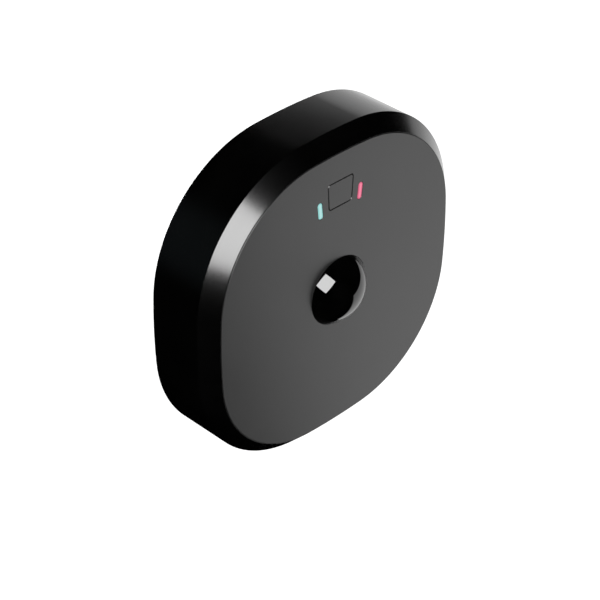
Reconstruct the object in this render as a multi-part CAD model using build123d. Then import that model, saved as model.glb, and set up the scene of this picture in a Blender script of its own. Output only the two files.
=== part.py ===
from build123d import *
import os
from math import atan2, cos, degrees, radians, sin, sqrt

# Wall thermostat in two halves: a wall plate with the wiring terminals, and a head that plugs
# onto it and holds the electronics. Millimetres. Each piece is drawn lying on its back, x to the
# right, y up the wall and z off the wall, and is stood up when it is written: z then points to
# -Y, towards the person in front of it, and the wall is the plane Y = 0.

# Outline of the case from the front: four shallow side arcs joined by four tighter corner arcs.
HALF = 45.0
SIDE_R = 172.0
CORNER_R = 36.9

# Levels off the wall, from the wall outwards.
CASE_BACK = 0.35
PLATE_T = 2.0
PLATE_BOARD_T = 1.2
COVER_BACK = 9.6
COVER_T = 1.0
BOARD_BACK = 13.0
BOARD_T = 1.2
FACE = 20.5
PANEL_T = 1.8
TAPE_T = 0.2
FRONT_WALL_T = 1.2
BEVEL = 4.15
WALL_T = 2.0

COVER_FRONT = COVER_BACK + COVER_T
BOARD_FRONT = BOARD_BACK + BOARD_T
PANEL_BACK = FACE - PANEL_T
WEB_FRONT = PANEL_BACK - TAPE_T
WEB_BACK = WEB_FRONT - FRONT_WALL_T
PLATE_BOARD_FRONT = PLATE_T + PLATE_BOARD_T

# Dome over the motion sensor, in the middle of the face.
DOME_Y = 0.3
DOME_R = 11.0
DOME_DROP = 5.18
DOME_WALL = 1.0
DOME_NECK_R = sqrt(DOME_R ** 2 - DOME_DROP ** 2)
DOME_FLANGE_R = 12.0
DOME_FLANGE_T = 1.0
DOME_CENTRE = FACE - DOME_DROP
RETAINER_T = 1.0
RETAINER_EAR_R = 14.3
RETAINER_ANGLES = (90, 210, 330)

# Button above the dome: a keystone, a little wider at the top.
BUTTON_Y = 29.4
BUTTON_TOP_W = 8.7
BUTTON_BOTTOM_W = 7.8
BUTTON_H = 7.15
BUTTON_CORNER = 0.7
BUTTON_GAP = 0.3
BUTTON_FLANGE = 0.8
BUTTON_TRAVEL = 0.3

# Light bars either side of the button, leaning out at the top.
BAR_X = 7.05
BAR_Y = 26.95
BAR_L = 4.7
BAR_W = 1.45
BAR_LEAN = 6.0
BAR_FLANGE = 0.5

# Tactile switch, light guide feet and lamps on the board.
SWITCH_SIDE = 6.0
SWITCH_T = 1.4
PLUNGER_R = 1.3
PLUNGER_TOP = BOARD_FRONT + 1.8
LED_T = 0.8
BAFFLE_T = 1.7

# Screws: shank radius, head radius, head height.
SMALL_SCREW = (0.7, 1.3, 0.8)
BOARD_SCREW = (0.95, 2.0, 1.1)
COVER_SCREW = (1.1, 2.2, 1.2)
BOARD_SCREW_XY = (17.0, 28.5)
COVER_SCREW_XY = (27.0, 27.0)
SCREW_PLAY = 0.05

# Wall plate.
PLATE_INSET = 3.0
PLATE_RIM_T = 1.5
PLATE_RIM_TOP = 5.0
WALL_SCREW_X = 30.15
WALL_HOLE_R = 2.2
CABLE_W = 30.0
CABLE_H = 16.0
CABLE_Y = 12.0
FINGER_W = 8.0
FINGER_TOP = 8.0
CORE_DEPTH = 0.7
CORE_RIM = 2.7
CORE_RIB_W = 1.3
CORE_RIB_PITCH = 13.2
CORE_MIN_AREA = 12.0

# Wiring terminals and the plug between the halves.
POLES = 8
POLE_PITCH = 5.0
BLOCK_TOP_Y = -8.0
BLOCK_D = 11.0
BLOCK_TOP = 9.0
PIN_COUNT = 8
PIN_PITCH = 2.54
PIN_SIDE = 0.64
PLUG_Y = -26.0
SOCKET_TOP = 9.2


def outline(inset=0.0):
    """Face of the case outline, moved in by inset. The side arcs are centred on the axes beyond
    the middle and the corner arcs on the diagonals, so an inset only shortens the radii."""
    beyond = SIDE_R - HALF
    span = SIDE_R - CORNER_R
    corner = (sqrt(2 * span ** 2 - beyond ** 2) - beyond) / 2
    turn = degrees(atan2(corner, corner + beyond))
    arcs = []
    for quarter in range(4):
        start = 90 * quarter
        a = radians(start)
        side_centre = (-beyond * cos(a), -beyond * sin(a))
        b = radians(start + 45)
        corner_centre = (corner * sqrt(2) * cos(b), corner * sqrt(2) * sin(b))
        arcs.append(CenterArc(side_centre, SIDE_R - inset, start - turn, 2 * turn))
        arcs.append(CenterArc(corner_centre, CORNER_R - inset, start + turn, 90 - 2 * turn))
    return make_face(Wire(arcs))


def ring(outer, inner):
    """Band between two insets of the case outline."""
    return outline(outer) - outline(inner)


def slab(shape, low, high):
    """Flat shape given thickness between two levels off the wall."""
    return Pos(0, 0, low) * extrude(shape, high - low)


def disc(x, y, radius):
    return Pos(x, y) * Circle(radius)


def plate(x, y, width, height, corner=0.0):
    """Rectangle centred on x, y, with rounded corners where corner is given."""
    shape = RectangleRounded(width, height, corner) if corner else Rectangle(width, height)
    return Pos(x, y) * shape


def mirrored(x, y):
    """The four places (+-x, +-y)."""
    return [(sx * x, sy * y) for sx in (-1, 1) for sy in (-1, 1)]


def row(count, pitch):
    """Places along x, centred on 0."""
    return [(i - (count - 1) / 2) * pitch for i in range(count)]


def diagonal_band(outer, inner, width, low, high):
    """Band of the outline that is kept only in a strip across each diagonal."""
    band = ring(outer, inner)
    strips = Sketch() + [Rot(0, 0, 45 + 90 * q) * Pos(HALF, 0) * Rectangle(20, width)
                         for q in range(4)]
    return slab(band & strips, low, high)


def stood_up(piece):
    """Piece turned from lying on its back to standing against the wall. A list of separate like
    pieces becomes one group."""
    turn = Rot(90, 0, 0)
    if isinstance(piece, list):
        return Compound([turn * each for each in piece])
    return turn * piece


def keystone(grow=0.0):
    """Button outline, grown evenly by grow."""
    top = BUTTON_TOP_W / 2
    bottom = BUTTON_BOTTOM_W / 2
    rise = BUTTON_H / 2
    shape = make_face(Polyline((-bottom, -rise), (bottom, -rise), (top, rise), (-top, rise), close=True))
    shape = fillet(shape.vertices(), BUTTON_CORNER)
    if grow:
        shape = offset(shape, grow)
    return Pos(0, BUTTON_Y) * shape


def bar(side, grow=0.0):
    """Light bar outline, side -1 on the left and 1 on the right, grown evenly by grow."""
    turn = 90 - side * BAR_LEAN
    shape = SlotOverall(BAR_L + 2 * grow, BAR_W + 2 * grow)
    return Pos(side * BAR_X, BAR_Y) * Rot(0, 0, turn) * shape


def screw(place, seat, size, length, down=True):
    """Cheese head screw with a driver slot, whose head sits on the level seat; down means that
    the head is below it and the shank runs up, away from the wall."""
    shank_r, head_r, head_h = size
    head = slab(Circle(head_r), 0, head_h)
    head -= Pos(0, 0, head_h) * Box(3 * head_r, head_r * 0.3, head_h * 0.8)
    body = head + slab(RegularPolygon(shank_r, 8), -length, 0)
    if down:
        body = Rot(180, 0, 0) * body
    return Pos(place[0], place[1], seat) * body


def retainer_places():
    return [(RETAINER_EAR_R * cos(radians(a)), DOME_Y + RETAINER_EAR_R * sin(radians(a)))
            for a in RETAINER_ANGLES]


# The case of the head: a moulded cup with a bevelled front edge, a front wall that carries the
# face panel, and screw bosses, catches and vents.
VENT_W = 1.4
VENT_PITCH = 3.6
VENT_COUNT = 7
BOSS_WEB_MID = 43.5
BOSS_WEB_L = 6.0


def housing():
    cup = slab(outline(), CASE_BACK, FACE)
    cup = chamfer(cup.faces().sort_by(Axis.Z)[-1].edges(), BEVEL)
    cup -= slab(outline(WALL_T), CASE_BACK - 1, WEB_BACK)
    cup -= slab(outline(BEVEL), WEB_FRONT, FACE + 1)
    for x, y in mirrored(*BOARD_SCREW_XY):
        cup += slab(disc(x, y, 2.6), BOARD_FRONT, WEB_BACK)
    for x, y in mirrored(*COVER_SCREW_XY):
        cup += slab(disc(x, y, 3.0), COVER_FRONT, WEB_BACK)
        web = Rot(0, 0, degrees(atan2(y, x))) * Pos(BOSS_WEB_MID, 0) * Rectangle(BOSS_WEB_L, 1.2)
        cup += slab(web, COVER_FRONT + 0.6, WEB_BACK)
    for x, y in retainer_places():
        cup += slab(disc(x, y, 1.9), WEB_BACK - DOME_FLANGE_T, WEB_BACK)
    cup += diagonal_band(WALL_T - 0.5, WALL_T + 0.6, FINGER_W - 1, 3.0, 5.0)
    cup -= slab(disc(0, DOME_Y, DOME_NECK_R + 0.2), WEB_BACK - 1, FACE)
    cup -= slab(keystone(BUTTON_GAP + 0.1), WEB_BACK - 1, FACE)
    for side in (-1, 1):
        cup -= slab(bar(side, 0.1), WEB_BACK - 1, FACE)
    for x, y in mirrored(*BOARD_SCREW_XY):
        cup -= slab(disc(x, y, BOARD_SCREW[0] + SCREW_PLAY), BOARD_FRONT - 1, WEB_BACK)
    for x, y in mirrored(*COVER_SCREW_XY):
        cup -= slab(disc(x, y, COVER_SCREW[0] + SCREW_PLAY), COVER_FRONT - 1, WEB_BACK)
    for x, y in retainer_places():
        cup -= slab(disc(x, y, SMALL_SCREW[0] + SCREW_PLAY), WEB_BACK - 2, WEB_FRONT - 0.4)
    for x in row(VENT_COUNT, VENT_PITCH):
        vent = Pos(x, -HALF, (COVER_FRONT + WEB_BACK) / 2) * Box(VENT_W, 8.0, 4.2)
        cup -= vent
    return cup


def panel_openings(shape, gap):
    """Cuts the holes for the dome, the button and the two light bars."""
    shape -= disc(0, DOME_Y, DOME_NECK_R + 0.12 + gap)
    shape -= keystone(BUTTON_GAP + gap)
    for side in (-1, 1):
        shape -= bar(side, 0.06 + gap)
    return shape


def face_panel():
    """Matt front plate, flush in the case."""
    return slab(panel_openings(outline(BEVEL + 0.05), 0.0), PANEL_BACK, FACE)


def panel_tape():
    """Double-sided tape that bonds the face panel to the front wall."""
    sheet = outline(BEVEL + 1.0) - disc(0, DOME_Y, DOME_NECK_R + 2.0)
    sheet -= plate(0, 28.0, 19.0, 13.0, 2.0)
    return slab(sheet, WEB_FRONT, PANEL_BACK)


# Motion sensor: a hollow black dome through the face, clamped from behind, over a metal can.


LENS_ZONE_ANGLES = (72, 54)


def sensor_dome():
    """Moulded dome: a sphere outside, lens zones in flat rings inside, a neck and a flange."""
    base = WEB_BACK - DOME_FLANGE_T
    bore_r = DOME_NECK_R - DOME_WALL
    inner_r = DOME_R - DOME_WALL
    bore_top = DOME_CENTRE + sqrt(inner_r ** 2 - bore_r ** 2)
    crown = DOME_CENTRE + DOME_R
    mid = radians(60)
    zones = [Vector(inner_r * cos(radians(a)), DOME_CENTRE + inner_r * sin(radians(a)))
             for a in LENS_ZONE_ANGLES]
    inner = [(0, crown - DOME_WALL)] + [(v.X, v.Y) for v in zones] + [(bore_r, bore_top)]
    profile = [
        Line((bore_r, base), (DOME_FLANGE_R, base)),
        Line((DOME_FLANGE_R, base), (DOME_FLANGE_R, WEB_BACK)),
        Line((DOME_FLANGE_R, WEB_BACK), (DOME_NECK_R, WEB_BACK)),
        Line((DOME_NECK_R, WEB_BACK), (DOME_NECK_R, FACE)),
        ThreePointArc((DOME_NECK_R, FACE),
                      (DOME_R * cos(mid), DOME_CENTRE + DOME_R * sin(mid)), (0, crown)),
        Line((0, crown), (0, crown - DOME_WALL)),
        *Polyline(*inner).edges(),
        Line((bore_r, bore_top), (bore_r, base)),
    ]
    face = make_face(Wire(profile))
    return Pos(0, DOME_Y, 0) * revolve(Plane.XZ * face, Axis.Z)


def dome_retainer():
    """Clamp ring behind the dome's flange, with three screw ears."""
    front = WEB_BACK - DOME_FLANGE_T
    shape = Sketch() + disc(0, DOME_Y, DOME_FLANGE_R + 0.8)
    for x, y in retainer_places():
        shape += disc(x, y, 2.0)
    shape -= disc(0, DOME_Y, DOME_NECK_R - DOME_WALL + 0.2)
    for x, y in retainer_places():
        shape -= disc(x, y, SMALL_SCREW[0] + 0.15)
    return slab(shape, front - RETAINER_T, front)


def retainer_screws():
    seat = WEB_BACK - DOME_FLANGE_T - RETAINER_T
    return [screw(p, seat, SMALL_SCREW, 2.8) for p in retainer_places()]


PIR_R = 4.15
PIR_BRIM_R = 4.6
PIR_H = 4.2
PIR_WINDOW = (5.2, 4.2, 0.5)


def motion_sensor():
    """Drawn steel can on the board, with a recess for its filter window."""
    can = slab(disc(0, DOME_Y, PIR_BRIM_R), BOARD_FRONT, BOARD_FRONT + 0.5)
    can += slab(disc(0, DOME_Y, PIR_R), BOARD_FRONT, BOARD_FRONT + PIR_H)
    can = chamfer(can.faces().sort_by(Axis.Z)[-1].edges(), 0.3)
    width, height, depth = PIR_WINDOW
    top = BOARD_FRONT + PIR_H
    can -= slab(plate(0, DOME_Y, width, height), top - depth, top + 1)
    return can


def sensor_window():
    width, height, depth = PIR_WINDOW
    top = BOARD_FRONT + PIR_H
    return slab(plate(0, DOME_Y, width, height), top - depth, top + 0.05)


# Button, with its switch, and the two light bars with their lamps.


def button_cap():
    flange_front = WEB_BACK - 0.1
    flange_back = PLUNGER_TOP + 0.4
    cap = slab(keystone(), flange_back, FACE)
    cap = chamfer(cap.faces().sort_by(Axis.Z)[-1].edges(), 0.15)
    cap += slab(keystone(BUTTON_FLANGE), flange_back, flange_front)
    cap += slab(disc(0, BUTTON_Y, PLUNGER_R), PLUNGER_TOP, flange_back)
    return cap


def switch_plunger():
    return slab(disc(0, BUTTON_Y, PLUNGER_R), PLUNGER_TOP - 0.9, PLUNGER_TOP)


def button_switch():
    """Low tactile switch: square body with a well for the plunger and four feet."""
    top = BOARD_FRONT + SWITCH_T
    body = slab(plate(0, BUTTON_Y, SWITCH_SIDE, SWITCH_SIDE, 0.6), BOARD_FRONT, top)
    body -= slab(disc(0, BUTTON_Y, PLUNGER_R + 0.2), BOARD_FRONT + 0.4, top + 1)
    return body


def light_guide(side):
    """Clear bar flush with the face, with a collar behind the front wall and a foot over the lamp."""
    guide = slab(bar(side), BOARD_FRONT + LED_T + 0.15, FACE)
    guide += slab(bar(side, BAR_FLANGE), WEB_BACK - 0.8, WEB_BACK)
    return guide


def lamp(side):
    """Surface-mounted lamp under a light guide."""
    turn = 90 - side * BAR_LEAN
    base = Pos(side * BAR_X, BAR_Y) * Rot(0, 0, turn) * Rectangle(3.2, 1.6)
    lens = Pos(side * BAR_X, BAR_Y) * Rot(0, 0, turn) * Rectangle(2.2, 1.2)
    return slab(base, BOARD_FRONT, BOARD_FRONT + 0.4) + slab(lens, BOARD_FRONT + 0.4, BOARD_FRONT + LED_T)


def light_baffle():
    """Black frame that keeps the two colours apart and off the button."""
    shape = plate(0, BUTTON_Y - 1.2, 20.4, 11.4, 1.2)
    shape -= plate(0, BUTTON_Y, SWITCH_SIDE + 0.6, SWITCH_SIDE + 0.6, 0.6)
    for side in (-1, 1):
        shape -= bar(side, 0.7)
    return slab(shape, BOARD_FRONT, BOARD_FRONT + BAFFLE_T)


# Main board of the head and what is soldered to it.
ISOLATION_SLOT_W = 0.9
TEMP_SENSOR_Y = -32.4


def main_board():
    shape = outline(9.5)
    for x, y in mirrored(*COVER_SCREW_XY):
        shape -= disc(x, y, 3.7)
    for x, y in mirrored(*BOARD_SCREW_XY):
        shape -= disc(x, y, BOARD_SCREW[0] + 0.2)
    shape -= pin_squares(PIN_SIDE + 0.3)
    for side in (-1, 1):
        shape -= plate(side * 3.6, TEMP_SENSOR_Y - 0.4, ISOLATION_SLOT_W, 5.4)
    return slab(shape, BOARD_BACK, BOARD_FRONT)


def board_screws():
    return [screw(p, BOARD_BACK, BOARD_SCREW, 3.9) for p in mirrored(*BOARD_SCREW_XY)]


WIFI_X = 26.0
WIFI_W = 16.0
WIFI_L = 24.0
WIFI_BOARD_T = 0.8


def wifi_board():
    """Radio module's own small board, with notched solder edges down both sides."""
    shape = plate(WIFI_X, 0, WIFI_W, WIFI_L)
    for side in (-1, 1):
        for y in row(12, 1.5):
            shape -= plate(WIFI_X + side * WIFI_W / 2, y - 2.0, 0.6, 0.6)
    return slab(shape, BOARD_FRONT, BOARD_FRONT + WIFI_BOARD_T)


def wifi_shield():
    """Pressed tin lid over the radio; the aerial end of its board stays bare."""
    low = BOARD_FRONT + WIFI_BOARD_T
    lid = slab(plate(WIFI_X, -2.8, WIFI_W - 2.0, WIFI_L - 7.6, 0.8), low, low + 2.0)
    lid = chamfer(lid.faces().sort_by(Axis.Z)[-1].edges(), 0.25)
    return lid - slab(plate(WIFI_X, -2.8, WIFI_W - 2.5, WIFI_L - 8.1, 0.5), low - 1, low + 1.7)


def chip(x, y, side, height, legs, pitch):
    """Square flat pack with gull-wing legs along all four sides, standing on the board's front."""
    body = slab(plate(x, y, side, side), BOARD_FRONT + 0.1, BOARD_FRONT + height)
    body = chamfer(body.faces().sort_by(Axis.Z)[-1].edges(), 0.2)
    reach = 1.0
    leg = Pos(side / 2 + reach / 2 - 0.1, 0) * Rectangle(reach + 0.2, pitch * 0.5)
    legs_flat = Sketch() + [Rot(0, 0, 90 * q) * Pos(0, y0) * leg for q in range(4) for y0 in row(legs, pitch)]
    return body + slab(Pos(x, y) * legs_flat, BOARD_FRONT, BOARD_FRONT + 0.3)


def processor():
    return chip(-25.0, 0.0, 10.0, 1.3, 8, 1.1)


def memory_chip():
    return chip(-22.5, -14.5, 5.0, 1.0, 4, 1.1)


def temperature_sensor():
    """Thermistor on a tongue of the board by the bottom vents."""
    bead = slab(plate(0, TEMP_SENSOR_Y, 2.4, 1.6), BOARD_FRONT, BOARD_FRONT + 1.0)
    return chamfer(bead.faces().sort_by(Axis.Z)[-1].edges(), 0.25)


def hanging(shape, height):
    """Component on the back of the main board, height tall."""
    return slab(shape, BOARD_BACK - height, BOARD_BACK)


def output_switches():
    """Solid-state switches for the heating and cooling lines."""
    pieces = []
    for x in row(6, 7.4):
        body = hanging(plate(x, -18.6, 4.6, 5.6), 2.0)
        body = chamfer(body.faces().sort_by(Axis.Z)[0].edges(), 0.25)
        legs = Sketch() + [Pos(x + dx, -18.6) * Rectangle(0.5, 7.4) for dx in (-1.27, 1.27)]
        pieces.append(body + hanging(legs, 0.5))
    return pieces


def supply_coil():
    """Shielded power inductor of the supply."""
    coil = hanging(plate(-15.0, 12.0, 7.4, 7.4, 1.6), 2.2)
    coil -= slab(disc(-15.0, 12.0, 2.3), BOARD_BACK - 3, BOARD_BACK - 1.8)
    return coil


def storage_capacitors():
    pieces = []
    for y in (6.0, 12.6):
        block = hanging(plate(15.0, y, 7.3, 4.3), 2.0)
        block = chamfer(block.faces().sort_by(Axis.Z)[0].edges(), 0.3)
        pieces.append(block + hanging(plate(15.0, y, 8.1, 2.4), 0.7))
    return pieces


def bridge_rectifier():
    body = hanging(plate(-15.0, -2.0, 6.6, 5.0), 2.1)
    body = chamfer(body.faces().sort_by(Axis.Z)[0].edges(), 0.3)
    legs = Sketch() + [Pos(-15.0 + dx, -2.0) * Rectangle(0.9, 8.0) for dx in (-2.5, 2.5)]
    return body + hanging(legs, 0.5)


# Plug between the halves.


def pin_squares(side):
    return Sketch() + [Pos(x, PLUG_Y) * Rectangle(side, side) for x in row(PIN_COUNT, PIN_PITCH)]


def header_strip():
    """Insulating strip that holds the pins on the back of the main board."""
    shape = plate(0, PLUG_Y, PIN_COUNT * PIN_PITCH, 2.5) - pin_squares(PIN_SIDE)
    return slab(shape, BOARD_BACK - 2.3, BOARD_BACK)


def header_pins():
    pins = []
    for x in row(PIN_COUNT, PIN_PITCH):
        pin = slab(plate(x, PLUG_Y, PIN_SIDE, PIN_SIDE), 4.6, BOARD_FRONT + 0.6)
        pin = chamfer(pin.faces().sort_by(Axis.Z)[0].edges(), 0.15)
        pins.append(pin)
    return pins


SOCKET_D = 4.6
CAVITY = 1.5


def plate_socket():
    """Socket on the plate's board, with a lead-in at each cavity."""
    body = slab(plate(0, PLUG_Y, PIN_COUNT * PIN_PITCH + 2.4, SOCKET_D, 0.4), PLATE_BOARD_FRONT, SOCKET_TOP)
    body -= slab(pin_squares(CAVITY), PLATE_BOARD_FRONT, SOCKET_TOP + 1)
    return body


def socket_contacts():
    """Folded spring contact in each cavity: a floor and two leaves beside the pin."""
    pieces = []
    for x in row(PIN_COUNT, PIN_PITCH):
        floor = slab(plate(x, PLUG_Y, 1.4, 1.2), PLATE_BOARD_FRONT, PLATE_BOARD_FRONT + 0.25)
        for side in (-1, 1):
            floor += slab(plate(x + side * 0.575, PLUG_Y, 0.25, 1.2), PLATE_BOARD_FRONT, SOCKET_TOP - 0.8)
        pieces.append(floor)
    return pieces


# Back of the head.
COVER_INSET = WALL_T + 0.3


def rear_cover():
    """Flat moulding that closes the head, with a stiffening rim, a window for the plug and vents."""
    shape = outline(COVER_INSET)
    for x, y in mirrored(*COVER_SCREW_XY):
        shape -= disc(x, y, COVER_SCREW[0] + 0.2)
    shape -= plate(0, PLUG_Y, PIN_COUNT * PIN_PITCH + 3.4, SOCKET_D + 1.0, 0.8)
    for y in row(5, 3.2):
        shape -= plate(0, y + 25.0, 22.0, 1.3)
    cover = slab(shape, COVER_BACK, COVER_FRONT)
    cover += slab(ring(COVER_INSET, COVER_INSET + 1.2), COVER_BACK - 1.0, COVER_BACK)
    for x, y in mirrored(*COVER_SCREW_XY):
        seat = plate(x, y, 7.4, 7.4) - plate(x, y, 5.4, 5.4)
        cover += slab(seat, COVER_BACK - 0.6, COVER_BACK)
    for side in (-1, 1):
        cover += slab(plate(side * 34.0, 0, 1.2, 30.0), COVER_BACK - 1.0, COVER_BACK)
    return cover


def cover_screws():
    return [screw(p, COVER_BACK, COVER_SCREW, 6.2) for p in mirrored(*COVER_SCREW_XY)]


# Wall half: moulded plate, its board, the wiring terminals and their screws.
PLATE_BOARD_W = 50.0
PLATE_BOARD_TOP = -6.4
PLATE_BOARD_BOTTOM = -32.0
PLATE_SCREW_XY = (22.6, -22.0)


def plate_cores():
    """Shallow pockets in the back of the plate, between its rim, a grid of ribs and flat pads round
    the openings; corners too small for a pocket stay solid."""
    cores = outline(PLATE_INSET + CORE_RIM)
    for place in row(5, CORE_RIB_PITCH):
        cores -= plate(place, 0, CORE_RIB_W, 2 * HALF)
        cores -= plate(0, place, 2 * HALF, CORE_RIB_W)
    cores -= plate(0, CABLE_Y, CABLE_W + 3.6, CABLE_H + 3.6)
    cores -= disc(0, 0, 4.0)
    for side in (-1, 1):
        cores -= disc(side * WALL_SCREW_X, 0, 6.0)
        cores -= disc(side * PLATE_SCREW_XY[0], PLATE_SCREW_XY[1], 2.4)
    return [slab(face, 0, CORE_DEPTH) for face in cores.faces() if face.area > CORE_MIN_AREA]


def wall_plate():
    base = slab(outline(PLATE_INSET), 0, PLATE_T) - plate_cores()
    base += slab(ring(PLATE_INSET, PLATE_INSET + PLATE_RIM_T), 0, PLATE_RIM_TOP)
    reliefs = diagonal_band(PLATE_INSET - 1, PLATE_INSET + PLATE_RIM_T + 1, FINGER_W + 2, PLATE_T, FINGER_TOP)
    base -= reliefs
    base += diagonal_band(PLATE_INSET + 0.3, PLATE_INSET + 1.6, FINGER_W, PLATE_T, FINGER_TOP)
    base += diagonal_band(PLATE_INSET - 0.2, PLATE_INSET + 0.3, FINGER_W, FINGER_TOP - 1.4, FINGER_TOP - 0.3)
    for side in (-1, 1):
        base += slab(disc(side * WALL_SCREW_X, 0, 5.0), PLATE_T, PLATE_T + 1.0)
    lip = plate(0, CABLE_Y, CABLE_W + 2.4, CABLE_H + 2.4, 4.2)
    base += slab(lip, PLATE_T, PLATE_T + 1.4)
    for side in (-1, 1):
        base += slab(plate(side * 24.6, 15.0, 1.2, 26.0), PLATE_T, PLATE_T + 1.4)
        base += slab(plate(side * 33.0, -14.0, 1.2, 16.0), PLATE_T, PLATE_T + 1.4)
    base += slab(plate(0, 30.0, 40.0, 1.2), PLATE_T, PLATE_T + 1.4)
    base -= slab(plate(0, CABLE_Y, CABLE_W, CABLE_H, 3.0), -1, PLATE_T + 3)
    for side in (-1, 1):
        base -= slab(disc(side * WALL_SCREW_X, 0, WALL_HOLE_R), -1, PLATE_T + 3)
        seat = Pos(side * WALL_SCREW_X, 0, PLATE_T + 1.0) * Cone(
            WALL_HOLE_R, 4.0, 1.2, align=(Align.CENTER, Align.CENTER, Align.MAX))
        base -= seat
        x, y = PLATE_SCREW_XY
        base -= slab(disc(side * x, y, SMALL_SCREW[0] + SCREW_PLAY), 0.4, PLATE_T + 1)
    return base


def plate_board():
    height = PLATE_BOARD_TOP - PLATE_BOARD_BOTTOM
    shape = plate(0, (PLATE_BOARD_TOP + PLATE_BOARD_BOTTOM) / 2, PLATE_BOARD_W, height, 2.0) & outline(6.5)
    x, y = PLATE_SCREW_XY
    for side in (-1, 1):
        shape -= disc(side * x, y, SMALL_SCREW[0] + 0.15)
    return slab(shape, PLATE_T, PLATE_BOARD_FRONT)


def plate_board_screws():
    x, y = PLATE_SCREW_XY
    return [screw((side * x, y), PLATE_BOARD_FRONT, SMALL_SCREW, 2.6, down=False) for side in (-1, 1)]


CAGE_W = 3.4
CAGE_BACK = PLATE_BOARD_FRONT + 0.6
CAGE_FRONT = 7.2
CAGE_D = 6.6
CAGE_HOLE = 2.0
POLE_SCREW = (0.9, 1.6, 1.3)


def pole_y():
    """Line of the terminal screws."""
    return BLOCK_TOP_Y - BLOCK_D / 2 + 0.2


def terminal_block():
    """Insulating block with a wire entry at the top edge and a screw well for each pole."""
    body = Pos(0, BLOCK_TOP_Y - BLOCK_D / 2, PLATE_BOARD_FRONT) * Box(
        POLES * POLE_PITCH + 1.0, BLOCK_D, BLOCK_TOP - PLATE_BOARD_FRONT,
        align=(Align.CENTER, Align.CENTER, Align.MIN))
    top_edge = body.edges().filter_by(Axis.X).sort_by(Axis.Z)[-2:].sort_by(Axis.Y)[-1]
    body = chamfer(top_edge, 1.2)
    for x in row(POLES, POLE_PITCH):
        cage = plate(x, pole_y(), CAGE_W + 0.1, CAGE_D + 0.1)
        body -= slab(cage, CAGE_BACK - 0.05, CAGE_FRONT + 0.05)
        body -= slab(disc(x, pole_y(), POLE_SCREW[1] + 0.2), CAGE_FRONT, BLOCK_TOP + 1)
        body -= Pos(x, BLOCK_TOP_Y, 5.5) * Box(2.8, 5.0, 2.6)
    return body


def wire_clamps():
    """Square cage in each pole that the screw pulls the wire up against."""
    pieces = []
    for x in row(POLES, POLE_PITCH):
        cage = slab(plate(x, pole_y(), CAGE_W, CAGE_D), CAGE_BACK, CAGE_FRONT)
        cage -= slab(plate(x, pole_y(), CAGE_W - 1.0, CAGE_D + 1), CAGE_BACK + 0.5, CAGE_FRONT - 0.7)
        cage -= slab(plate(x, pole_y(), CAGE_HOLE, CAGE_HOLE), CAGE_FRONT - 1, CAGE_FRONT + 1)
        pieces.append(cage)
    return pieces


def terminal_screws():
    return [screw((x, pole_y()), CAGE_FRONT, POLE_SCREW, 1.9, down=False) for x in row(POLES, POLE_PITCH)]


PIECES = {
    "housing": housing,
    "face_panel": face_panel,
    "panel_tape": panel_tape,
    "sensor_dome": sensor_dome,
    "dome_retainer": dome_retainer,
    "retainer_screws": retainer_screws,
    "motion_sensor": motion_sensor,
    "sensor_window": sensor_window,
    "button_cap": button_cap,
    "switch_plunger": switch_plunger,
    "button_switch": button_switch,
    "cool_light_guide": lambda: light_guide(-1),
    "heat_light_guide": lambda: light_guide(1),
    "cool_lamp": lambda: lamp(-1),
    "heat_lamp": lambda: lamp(1),
    "light_baffle": light_baffle,
    "main_board": main_board,
    "board_screws": board_screws,
    "wifi_board": wifi_board,
    "wifi_shield": wifi_shield,
    "processor": processor,
    "memory_chip": memory_chip,
    "temperature_sensor": temperature_sensor,
    "output_switches": output_switches,
    "supply_coil": supply_coil,
    "storage_capacitors": storage_capacitors,
    "bridge_rectifier": bridge_rectifier,
    "header_strip": header_strip,
    "header_pins": header_pins,
    "rear_cover": rear_cover,
    "cover_screws": cover_screws,
    "wall_plate": wall_plate,
    "plate_board": plate_board,
    "plate_board_screws": plate_board_screws,
    "plate_socket": plate_socket,
    "socket_contacts": socket_contacts,
    "terminal_block": terminal_block,
    "wire_clamps": wire_clamps,
    "terminal_screws": terminal_screws,
}

os.makedirs("parts", exist_ok=True)
for name, make in PIECES.items():
    export_step(stood_up(make()), f"parts/{name}.step")
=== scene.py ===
import bmesh
import bpy
import numpy as np
from mathutils import Matrix, Quaternion, Vector
from mathutils.geometry import tessellate_polygon


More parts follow.
